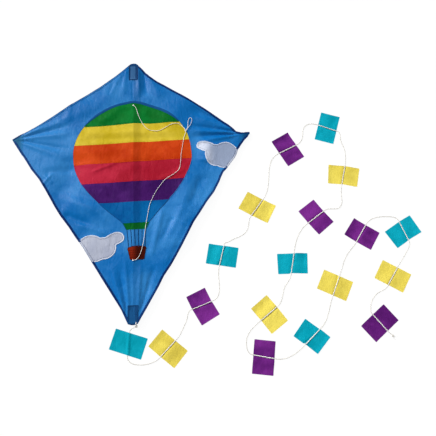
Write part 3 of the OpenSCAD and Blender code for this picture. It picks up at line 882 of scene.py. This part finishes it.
# Each row is (CAD node, its middle, side of the kite, height against the right cloud's, puffs, cloth).
CLOUDS = [
    ("cloud_right", np.array([226, 78]) * MM, 1, 1.0, RIGHT_LOBE + BODY_PUFFS, CLOUD_RIGHT_SHADE_PAINTED),
    ("cloud_left", np.array([-80, -163.5]) * MM, -1, 0.92, LEFT_LOBE + BODY_PUFFS, CLOUD_LEFT),
]
CLOUD_RAYS = 240
CLOUD_EDGE = 1.9 * MM


def cloud_outline(at, side, height, puffs):
    """Outer edge of the overlapping puffs, found along rays, clipped to the sail's lower edge."""
    middle = np.array([2, 4]) * MM
    rays = level(np.linspace(0, 360, CLOUD_RAYS, endpoint=False))
    far = np.zeros(CLOUD_RAYS)
    for px, py, r in np.array(puffs) * MM:
        offset = np.array([px, py]) - middle
        along = rays @ offset
        gap = r**2 - (offset @ offset - along**2)
        far = np.where(gap > 0, np.maximum(far, along + np.sqrt(np.maximum(gap, 0))), far)
    reach = np.convolve(np.pad(far, 3, mode="wrap"), np.ones(7) / 7, "valid")
    outline = (middle + rays * reach[:, None]) * [side, height] + at
    outline[:, 0] = side * np.minimum(side * outline[:, 0], edge_side(outline[:, 1]) - 0.6 * MM)
    return outline if side > 0 else outline[::-1]


def off_edge(points, side, gap):
    """True where points are more than gap inside the sail's lower edge."""
    return side * points[:, 0] < edge_side(points[:, 1]) - gap


def longest_run(keep):
    """Indices of the longest run of True round a closed list."""
    count = len(keep)
    start = next((i for i in range(count) if keep[i] and not keep[i - 1]), 0)
    best, current = [], []
    for i in np.arange(start, start + count) % count:
        current = current + [i] if keep[i] else []
        best = max(best, current, key=len)
    return best


cloud_spans = {}
for node, at, side, height, puffs, cloth in CLOUDS:
    outline = cloud_outline(at, side, height, puffs)
    at_edge = outline[~off_edge(outline, side, HEM_W / 2), 1]
    cloud_spans[side] = at_edge.min(), at_edge.max()
    sew(f"{node}_panel", cloth_patch(outline, CLOTH_STEP, PANEL_LIFT), cloth, node)
    free_edge = outline[longest_run(off_edge(outline, side, HEM_W))]
    sew(f"{node}_satin_edge", satin(free_edge, CLOUD_EDGE, 0.75 * MM), STITCH_WHITE)
    row = stitch_row(shrink(free_edge, 3.4 * MM), 0.3 * MM, 2.6 * MM)
    sew(f"{node}_stitches", row, STITCH_GREY)


# ---- Balloon's stitching ----

ROPE_COUNT = 6
ROPE_SPREAD = 21 * MM
BASKET_TOP = np.array([19, -258]) * MM
BASKET_FOOT = np.array([14, -282]) * MM
BASKET_R = 4 * MM
BASKET_ARCH = 2.6 * MM
BASKET_LIFT = PANEL_LIFT + 0.2 * MM


def side_between(low, high):
    """The right side of the balloon between two heights, from the bottom up."""
    whole = resample(np.vstack([ENVELOPE, [MOUTH_FOOT]]), 2 * MM)[::-1]
    return whole[(whole[:, 1] >= low) & (whole[:, 1] <= high)]


def both_sides(low, high, width, height):
    return [satin(on_balloon(side_between(low, high) * [side, 1]), width, height) for side in (-1, 1)]


crown_side = side_between(FIRST_BAND, CROWN_H)
crown_line = on_balloon(np.vstack([crown_side, crown_side[::-1][1:] * [-1, 1]]))
crown_share = ease((crown_line[:, 1] - 165 * MM) / (50 * MM))
crown_line = shrink(crown_line, 1.4 * MM * crown_share[:, None])
crown_edge = satin(crown_line, 1.2 * MM + 6 * MM * crown_share, 0.6 * MM)
sew("balloon_outline_dark", join([crown_edge] + both_sides(MOUTH_FOOT[1], LAST_BAND, 1.3 * MM, 0.6 * MM)),
    OUTLINE_BLUE)
sew("balloon_outline_blue", join(both_sides(LAST_BAND, FIRST_BAND, 1.1 * MM, 0.5 * MM)), OUTLINE_SAIL)

for (node, cloth), low in zip(BANDS, BAND_EDGES[1:]):
    half = half_width(low) - 1.2 * MM
    seam = resample(on_balloon([[-half, low], [half, low]]), 2 * MM)
    ridge = fold_strip(seam, 3.2 * MM, 0.38 * MM, PANEL_LIFT)
    row = stitch_row(seam + [0, 2.4 * MM], 0.18 * MM, 2 * MM, PANEL_LIFT + 0.1 * MM)
    sew(f"{node}_seam", join([ridge, row]), cloth)

ropes = []
for lean in np.linspace(-1, 1, ROPE_COUNT):
    ends = [[lean * (MOUTH_FOOT[0] - 2 * MM), MOUTH_FOOT[1]], [lean * ROPE_SPREAD, BASKET_TOP[1] + BASKET_R]]
    ropes.append(satin(on_balloon(ends), 1.3 * MM, 0.5 * MM))
sew("balloon_ropes_stitched", join(ropes), ROPE_DARK, "balloon_ropes")


def basket_outline():
    """Rounded corners joined by a flat foot, sloping sides and an arched top, anticlockwise."""
    made = []
    for corner, side, first in ((BASKET_FOOT, -1, 180), (BASKET_FOOT, 1, 270),
                                (BASKET_TOP, 1, 0), (BASKET_TOP, -1, 90)):
        made.append(corner * [side, 1] + BASKET_R * level(np.linspace(first, first + 90, 7)))
        if first == 0:
            t = np.linspace(0, 1, 12)[1:-1]
            arch = BASKET_TOP[1] + BASKET_R + BASKET_ARCH * 4 * t * (1 - t)
            made.append(np.column_stack([BASKET_TOP[0] * (1 - 2 * t), arch]))
    return on_balloon(np.concatenate(made))


basket_edge = basket_outline()
sew("basket_panel", cloth_patch(basket_edge, 2.5 * MM, BASKET_LIFT), BASKET_RED, "basket")
closed = np.vstack([basket_edge, basket_edge[:1]])
sew("basket_outline_stitched", satin(closed, 1.5 * MM, 0.6 * MM, BASKET_LIFT), BASKET_THREAD)
weave_rows = []
for k in range(1, 5):
    y = BASKET_FOOT[1] - BASKET_R + 6 * MM * k
    half = BASKET_FOOT[0] + 2 * MM + (y - BASKET_FOOT[1]) * 0.2
    line = on_balloon([[-half, y], [half, y]])
    weave_rows.append(stitch_row(line, 0.3 * MM, 3.4 * MM, BASKET_LIFT + 0.05 * MM))
sew("basket_weave_stitched", join(weave_rows), BASKET_THREAD)

# ---- Hems ----

OUTER_ROW = 1.7 * MM
HEM_STITCH_LIFT = 0.5 * MM


def upper_edge(side, inset):
    x = np.linspace(SHOULDER[0] - 1 * MM, TIP[0] - 24 * MM, 150)
    run, rise = TIP - SHOULDER
    return np.column_stack([x, edge_top(x) - inset * math.hypot(run, rise) / run]) * [side, 1]


def lower_edge(side, inset):
    y = np.linspace(HEEL[1] + 4 * MM, TIP[1] - 5 * MM, 250)
    run, rise = TIP - HEEL
    return np.column_stack([edge_side(y) - inset * math.hypot(1, run / rise), y]) * [side, 1]


def puckered(path, seed):
    """Small gathers that the stitches pull into a hem."""
    run = run_along(path) / MM
    return 1 + 0.1 * np.sin(run / 2.3 + seed) * np.sin(run / 17 + 2 * seed) + 0.08 * np.sin(run / 9.1 + seed)


def face_centres(points, faces):
    return np.array([points[f].mean(0) for f in faces])


def hem(node, edge, side, seed):
    """Makes one hem and returns its rows of stitches. A lower hem is white where a cloud runs into it, and
    the upper left one is sail blue on its inner half."""
    path = on_cloth(resample(edge(side, HEM_W / 2), 2.4 * MM), -0.08 * MM)
    bulk = puckered(path, seed)[:, None, None]
    across, up = level(np.linspace(0, 360, 14, endpoint=False)).T
    wide = np.sign(across) * np.abs(across) ** 0.45 * HEM_W / 2
    tall = np.sign(up) * np.abs(up) ** 0.6 * 0.62 * MM
    sections = np.stack([wide, tall], axis=1) * np.concatenate([np.ones_like(bulk), bulk], axis=2)
    points, faces = sweep(path, sections)
    low, high = cloud_spans[side]
    rows = [(0.2 * MM, edge(side, inset)) for inset in (OUTER_ROW, HEM_W - 1.1 * MM)]
    if edge is lower_edge:
        y = face_centres(points, faces)[:, 1]
        patch = CLOUD_HEM, (y > low) & (y < high)
        for inset in (OUTER_ROW, HEM_W - 0.4 * MM):
            line = edge(side, inset)
            rows.append((0.24 * MM, line[(line[:, 1] > low) & (line[:, 1] < high)]))
    else:
        inner_half = np.append(np.tile(wide + np.roll(wide, -1) > -0.6 * MM, len(path) - 1), [False, False])
        patch = SAIL_BLUE, inner_half & (side < 0)
    sew(f"{node}_fold", (points, faces), HEM_NAVY, node, sharp=60, patch=patch)
    return join([stitch_row(line, radius, 2.5 * MM, HEM_STITCH_LIFT) for radius, line in rows])


hem_rows = [hem("hem_upper_left", upper_edge, -1, 0.3), hem("hem_upper_right", upper_edge, 1, 1.7),
            hem("hem_lower_left", lower_edge, -1, 3.1), hem("hem_lower_right", lower_edge, 1, 4.9)]
sew("hem_stitches", join(hem_rows), STITCH_NAVY)

# ---- Pockets ----

POCKET_WRAP = 3.2 * MM
TIP_POCKET_L = 30 * MM


def end_pocket(node, mouth_y, end_y, corner_y, cloth):
    """A strip of dark cloth folded over an end of the kite: over the face, round the end and back under the
    spine. The middle of its face, over the spine, has a shade of its own."""
    rows = []
    for x in np.linspace(-END_HALF - 0.5 * MM, END_HALF + 0.5 * MM, 25):
        stop = corner_y + (end_y - corner_y) * (1 - min(1.0, abs(x) / END_HALF) ** 1.8)
        wrap = stop - math.copysign(POCKET_WRAP, end_y)
        tube = math.exp(-((x / (5 * MM)) ** 4))
        deep = spine_low.z - 1.1 * MM
        y = np.linspace(mouth_y, wrap, 22)
        top = np.column_stack([np.full(22, x), y, cloth_z(x, y) + PANEL_LIFT + 0.35 * MM])
        under = (top[-1, 2] - 1.1 * MM) * (1 - tube) + deep * tube
        a = np.linspace(0, math.pi, 9)[1:-1]
        round_end = np.column_stack([np.full(7, x), wrap + np.sin(a) * math.copysign(POCKET_WRAP, end_y),
                                     (top[-1, 2] + under) / 2 + (top[-1, 2] - under) / 2 * np.cos(a)])
        flat = cloth_z(x, y[::-1]) - 0.75 * MM
        back = np.column_stack([np.full(22, x), y[::-1], np.minimum(flat * (1 - tube) + deep * tube, flat)])
        back[0, 2] = under
        rows.append(np.vstack([top, round_end, back]))
    points, faces = grid_shell(np.array(rows), 0.45 * MM)
    centres = face_centres(points, faces)
    from_mouth = np.abs(centres[:, 1] - mouth_y)
    middle = (np.abs(centres[:, 0] + 1.5 * MM) < 7.2 * MM) & (from_mouth > 1.8 * MM) & (from_mouth < 42 * MM)
    sew(f"{node}_patch", (points, faces), POCKET_NAVY, node, sharp=60, patch=(cloth, middle))
    side, start = END_HALF - 1.5 * MM, mouth_y + math.copysign(2 * MM, mouth_y)
    box = [[-side, end_y * 0.975], [-side, start], [side, start], [side, end_y * 0.975]]
    row = stitch_row(box, 0.22 * MM, 2.3 * MM, PANEL_LIFT + 0.4 * MM)
    sew(f"{node}_patch_stitches", row, STITCH_NAVY)


end_pocket("nose_pocket", nose_low.y - 7 * MM, nose_high.y - 2.5 * MM, SHOULDER[1] - 3 * MM, POCKET_LIGHT)
end_pocket("tail_pocket", tail_high.y, tail_low.y, HEEL[1], POCKET_DEEP)


def tip_pocket(node, side, cloth):
    """A patch folded over a tip: a thin face above, and a pocket beneath, round the spreader's end."""
    inner, outer = TIP[0] - TIP_POCKET_L, TIP[0] - 1 * MM
    low_y = TIP[1] - TIP_POCKET_L * (TIP[1] - HEEL[1]) / (TIP[0] - HEEL[0])
    outline = np.array([[inner, low_y + 2 * MM], [outer, TIP[1] - 1 * MM], [outer, TIP[1]],
                        [inner, edge_top(inner) - 1 * MM]])
    upper = resample(outline[[3, 2]] * [side, 1], 2 * MM)
    flat, faces = fill(outline if side > 0 else (outline * [-1, 1])[::-1], 1.6 * MM)
    face = on_cloth(flat, 0.25 * MM)
    tube = np.exp(-(((face[:, 1] - SPREADER_Y) / (5.5 * MM)) ** 4))
    tube *= ease((TIP[0] - 2 * MM - np.abs(face[:, 0])) / (9 * MM))
    below = face.copy()
    below[:, 2] = (face[:, 2] - 1.0 * MM) * (1 - tube) + (spreader_low.z - 0.7 * MM) * tube
    halves = [thicken(face, faces, 0.3 * MM), thicken(below, faces, 0.4 * MM)]
    sew(f"{node}_patch", join(halves), cloth, node, 60)
    toward = unit([side * (TIP[0] - 20 * MM), TIP[1] - 6 * MM] - upper)
    binding = fold_strip(upper + toward * 0.8 * MM, 3.6 * MM, 0.8 * MM, 0.1 * MM)
    sew(f"{node}_patch_binding", binding, HEM_NAVY)


tip_pocket("tip_pocket_left", -1, TIP_LEFT_PAINTED_LIGHT)
tip_pocket("tip_pocket_right", 1, TIP_RIGHT_PAINTED_SHADE)


# ---- Flags ----

FLAG_L = 84 * MM
FLAG_W = 52 * MM
FLAG_T = 0.3 * MM
FLAG_CORNER = 1.2 * MM
FLAG_ON_TOP = 0
SEWING_R = TAIL_D / 2 + 0.27 * MM
FLAG_COLOURS = [("teal", FLAG_TEAL), ("yellow", FLAG_YELLOW), ("purple", FLAG_PURPLE)]

# How each flag lies, on the two sides of the line: [turn, kink, cloth tucked under the line ahead, behind,
# hump ahead, behind, curl ahead, behind, roll], in degrees and millimetres.
FLAG_LIE = [
    [1, 0, 1, 0, 0.4, 0.3, 0.8, 0.5, 0.3], [-1, -1, 1, 1, 0.5, 1.3, 1.0, 0.3, -0.6],
    [-5, -5, 6, 0, 1.5, 0.7, 0.4, 0.9, 0.5], [-10, 0, 5, 2, 1.4, 0.4, 1.4, 0.2, 0.8],
    [3, -3, 0, 0, 0.5, 1.2, 0.3, 1.2, -0.4], [-4, -1, 1, 1, 0.9, 0.5, 1.6, 0.3, 0.5],
    [-3, 0, 1, 1, 0.6, 1.1, 0.9, 0.7, -0.8], [-2, -6, 2, 2, 1.0, 0.5, 0.3, 1.1, 0.3],
    [-4, 3, 3, 2, 0.5, 1.0, 0.8, 0.4, 0.6], [-7, -3, 4, 4, 1.2, 0.6, 1.3, 0.4, -0.5],
    [2, -2, 0, 4, 0.4, 1.7, 0.3, 0.8, 0.4], [-1, 0, 3, 0, 0.4, 1.6, 0.5, 1.1, 0.7],
    [-9, 3, 3, 8, 1.1, 0.4, 1.0, 1.7, -0.6], [6, 0, 0, 6, 0.6, 1.0, 0.4, 0.5, 0.4],
    [-7, -3, 7, 1, 0.5, 1.5, 1.2, 0.6, 0.5], [-5, -4, 4, 0, 1.0, 0.5, 0.6, 1.3, -0.5],
    [-2, 0, 3, 3, 0.7, 0.9, 1.0, 0.3, 0.6], [-3, -1, 3, 1, 1.2, 0.6, 0.4, 1.0, 0.5],
]


def flag_mesh(i, row):
    """One flag: gathered a little where the line crosses it, so its halves rise beside it and settle."""
    skew, kink = np.radians(FLAG_LIE[i][:2])
    tuck_ahead, tuck_behind, after, before, far_curl, near_curl, twist = np.array(FLAG_LIE[i][2:]) * MM
    outline = []
    for corner, first in (((1, -1), 270), ((1, 1), 0), ((-1, 1), 90), ((-1, -1), 180)):
        middle = np.array(corner) * (np.array([FLAG_L, FLAG_W]) / 2 - FLAG_CORNER)
        outline.append(middle + FLAG_CORNER * level(np.linspace(first, first + 90, 4)))
    flat, faces = fill(np.concatenate(outline), 2.3 * MM)
    u, v = flat.T
    turn = math.radians(FLAG_TURN[i])
    gap = u * math.cos(turn) - v * math.sin(turn)
    along = u * math.sin(turn) + v * math.cos(turn)
    off, ahead = np.abs(gap), gap > 0
    side = np.tanh(gap / (4 * MM))
    swing = skew + kink / 2 * side
    tuck = np.where(ahead, tuck_ahead, tuck_behind) * side
    x = u * np.cos(swing) - v * np.sin(swing) - tuck * math.cos(turn)
    y = u * np.sin(swing) + v * np.cos(swing) + tuck * math.sin(turn)
    hump = np.where(ahead, after, before) + 0.35 * MM
    rise = hump * ease((off - 0.9 * MM) / (5 * MM)) * ease((30 * MM - off) / (22 * MM))
    rise *= 1 + 0.25 * np.sin(along / (7 * MM) + i)
    curl = np.where(u > 0, far_curl, near_curl) * ease((np.abs(u) / FLAG_L * 2 - 0.72) / 0.28)
    roll = np.abs(twist) * ease((np.sign(twist) * v / FLAG_W * 2 - 0.55) / 0.45)
    roll *= ease((np.abs(u) - 12 * MM) / (20 * MM))
    crinkle = 0.16 * MM * (1 + np.sin(u / (5.3 * MM) + v / (8 * MM) + 2.1 * i) * np.sin(v / (6.1 * MM) - i))
    z = FLAG_T + rise + curl + roll + crinkle * ease((off - 2 * MM) / (5 * MM))
    if i == FLAG_ON_TOP:
        over = TAIL_Z + TAIL_D / 2 + 0.5 * MM
        z = np.maximum(z, over * np.exp(-((gap / (5.5 * MM)) ** 2)) + FLAG_T)
    c, s = level(row[2] + 90 + FLAG_TURN[i])
    return thicken(np.column_stack([row[0] + x * c - y * s, row[1] + x * s + y * c, z]), faces, FLAG_T)


def flag_sewing(row):
    """Close stitches over the tail line, which hold a flag to it."""
    run = np.arange(-FLAG_W / 2 + 1 * MM, FLAG_W / 2 - 1 * MM, 0.125 * MM)
    swing = 2 * np.abs(2 * ((run / MM) % 1) - 1) - 1
    across = SEWING_R * np.sin(swing * math.pi / 2)
    z = TAIL_Z + SEWING_R * np.cos(swing * math.pi / 2) - 0.9 * MM * ease((np.abs(swing) - 0.7) / 0.3)
    plan = np.array(row[:2]) + run[:, None] * level(row[2]) + across[:, None] * level(row[2] + 90)
    return sweep(np.column_stack([plan, z]), round_section(0.22 * MM, 6))


for i, row in enumerate([row for row in TAIL_ROUTE if row[3] == FLAG_RUN]):
    colour, cloth = FLAG_COLOURS[i % 3]
    body = f"flag_{i + 1:02d}"
    flag = make(f"{body}_{colour}_cloth", flag_mesh(i, row), cloth, body, f"{body}_{colour}")
    sewn = [] if i == FLAG_ON_TOP else [make(f"{body}_sewing", flag_sewing(row), CORD_WHITE, body)]


# ---- The CAD's own rods and fittings ----

for node, material in (("spine", ROD_FIBRE), ("spreader", ROD_FIBRE), ("cross_joint", JOINT_VINYL),
                       ("spine_cap_nose", CAP_BLACK), ("spine_cap_tail", CAP_BLACK),
                       ("spreader_cap_left", CAP_BLACK), ("spreader_cap_right", CAP_BLACK)):
    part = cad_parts[node]
    part.data.materials.clear()
    part.data.materials.append(material)


# ---- Lights and floor ----

FLOOR_HALF = 4.0
FLOOR_GLOW = 0.94


def add_floor():
    mesh = bpy.data.meshes.new("floor")
    corners = [(x * FLOOR_HALF, y * FLOOR_HALF, 0) for x, y in ((-1, -1), (1, -1), (1, 1), (-1, 1))]
    mesh.from_pydata(corners, [], [(0, 1, 2, 3)])
    look = Look("floor", (0.07, 0.07, 0.07), 0.9, 0.1)
    look.feed(look.shader, {"Emission Color": (1, 1, 1, 1), "Emission Strength": FLOOR_GLOW})
    mesh.materials.append(look.material)
    add_object("floor", mesh)


def add_sun(name, toward, share, spread):
    """A far soft light from a direction. It gives a level white surface this share of full white."""
    data = bpy.data.lights.new(name, "SUN")
    direction = Vector(toward).normalized()
    data.energy = share * math.pi / direction.z
    data.angle = math.radians(spread)
    light = add_object(name, data)
    light.rotation_mode = "QUATERNION"
    light.rotation_quaternion = direction.to_track_quat("Z", "Y")


def add_world(colour, strength):
    world = bpy.data.worlds.new("studio")
    world.use_nodes = True
    background = world.node_tree.nodes["Background"]
    background.inputs["Color"].default_value = (*colour, 1)
    background.inputs["Strength"].default_value = strength
    bpy.context.scene.world = world


add_floor()
add_world((0.97, 0.98, 1.0), 0.26)
add_sun("key", (-0.5, 0.55, 1.0), 0.26, 22)
add_sun("low_key", (-1.25, 1.05, 0.85), 0.44, 16)
add_sun("fill", (1.0, -0.5, 1.0), 0.08, 40)
bpy.context.scene.view_settings.view_transform = "Standard"
